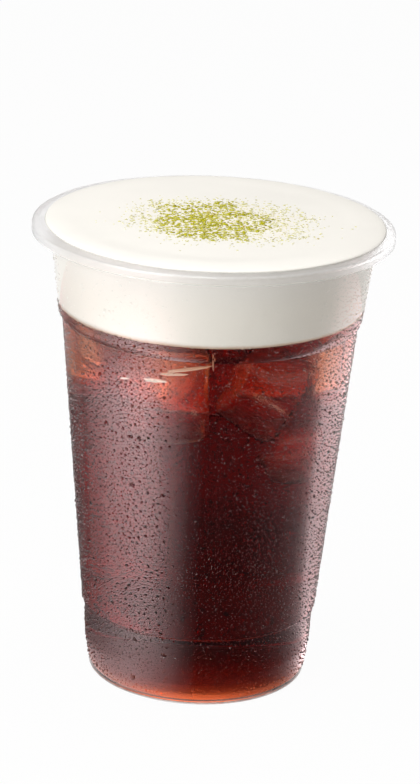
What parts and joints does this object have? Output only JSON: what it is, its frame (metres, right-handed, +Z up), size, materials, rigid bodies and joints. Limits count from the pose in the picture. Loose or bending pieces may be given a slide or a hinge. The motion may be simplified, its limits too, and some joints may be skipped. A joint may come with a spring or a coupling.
{
  "type": "earl grey tea with milk foam",
  "caption": "Iced black tea in a clear flanged takeaway cup, topped to the brim with thick domed milk foam and a green powder sprinkle.",
  "frame": {"origin": "on the cup's axis, at the plane that its foot ring stands on", "axes": "+Z up along the cup's axis; the cup is round, and the side that the lead view shows faces -Y"},
  "size_m": [0.095, 0.095, 0.1261],
  "materials": {
    "clear_cup": "clear glossy thermoformed plastic",
    "tea_liquid": "clear dark red-brown liquid",
    "foam_cream": "smooth soft satin foam"
  },
  "bodies": {
    "root": {"cup": "clear_cup", "tea": "tea_liquid", "milk_foam": "foam_cream"}
  },
  "joints": []
}
